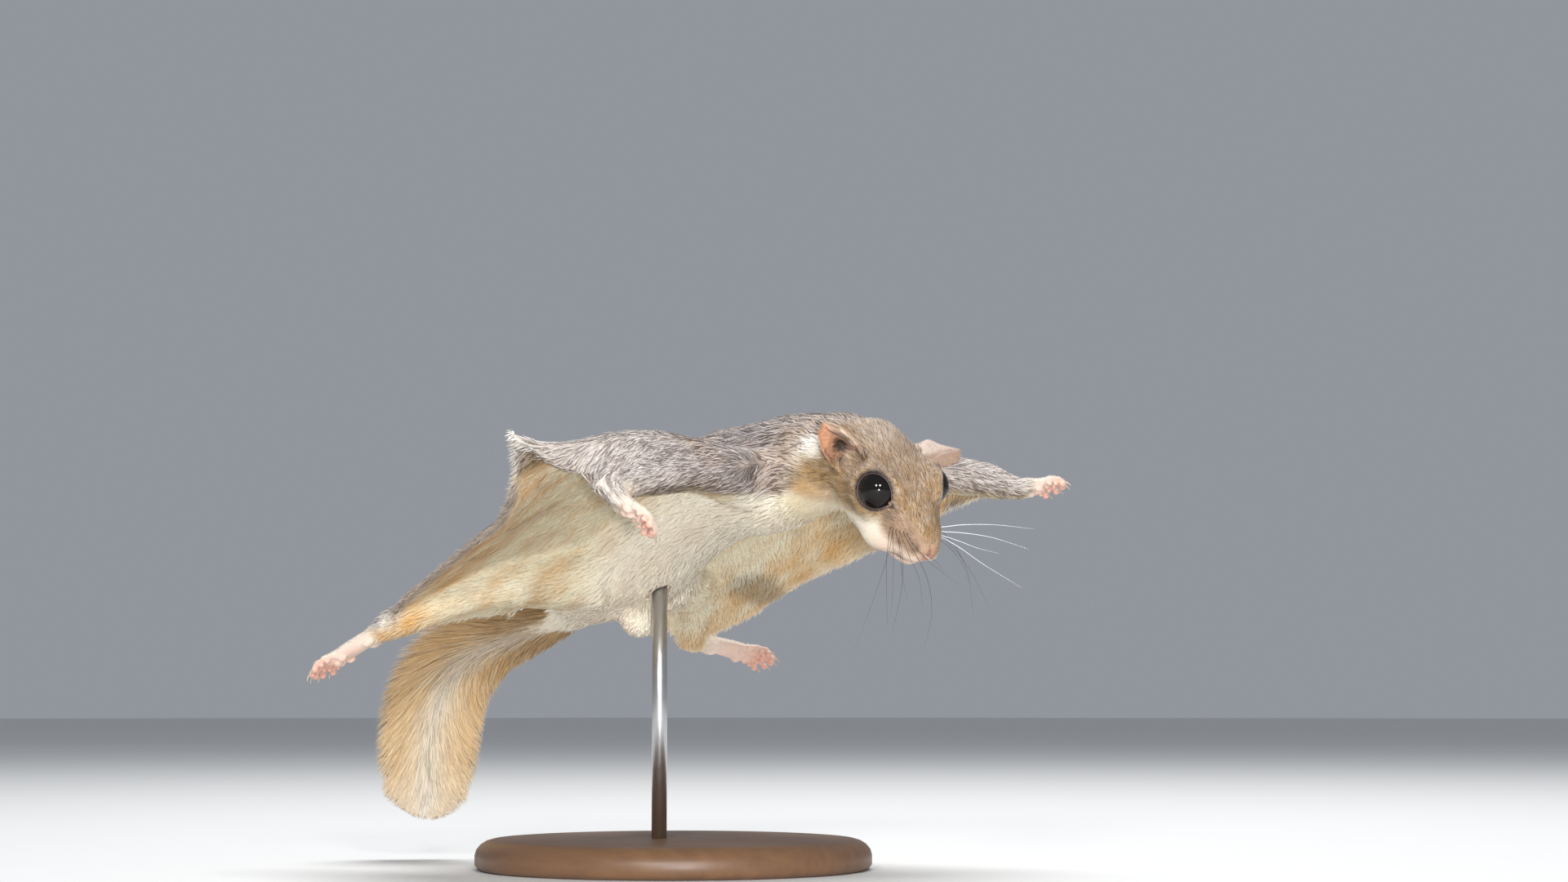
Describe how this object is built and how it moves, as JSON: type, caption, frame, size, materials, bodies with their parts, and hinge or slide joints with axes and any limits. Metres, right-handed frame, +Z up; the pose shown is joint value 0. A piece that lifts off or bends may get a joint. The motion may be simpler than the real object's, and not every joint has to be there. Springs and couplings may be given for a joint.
{
  "type": "southern flying squirrel model on a display stand",
  "caption": "Life-size southern flying squirrel, still, gliding with limbs and membranes spread and tail hanging, held by one rod over a plain round stand.",
  "frame": {"origin": "centre of the flat underside of the stand's round base", "axes": "+Z up; -Y the way the animal heads; +X its left side"},
  "size_m": [0.168, 0.1886, 0.1167],
  "materials": {
    "fur_back": "soft matt fur, grey-brown",
    "fur_membrane": "soft matt fur, cream below and grey-brown above",
    "fur_tail": "soft matt fur, buff",
    "bare_skin": "matt bare skin, pink",
    "eye": "wet gloss, black",
    "stand_wood": "oiled dark wood",
    "stand_metal": "satin steel rod"
  },
  "bodies": {
    "root": {"head": "fur_back", "neck": "fur_back", "torso": "fur_back", "rump": "fur_back", "arm_right": "fur_back", "arm_left": "fur_back", "wing_right": "fur_membrane", "wing_left": "fur_membrane", "leg_right": "fur_membrane", "leg_left": "fur_membrane", "hand_right": "bare_skin", "hand_left": "bare_skin", "foot_right": "bare_skin", "foot_left": "bare_skin", "ear_right": "bare_skin", "ear_left": "bare_skin", "eye_right": "eye", "eye_left": "eye", "tail_upper": "fur_tail", "tail_lower": "fur_tail", "stand_base": "stand_wood", "stand_rod": "stand_metal"}
  },
  "joints": []
}
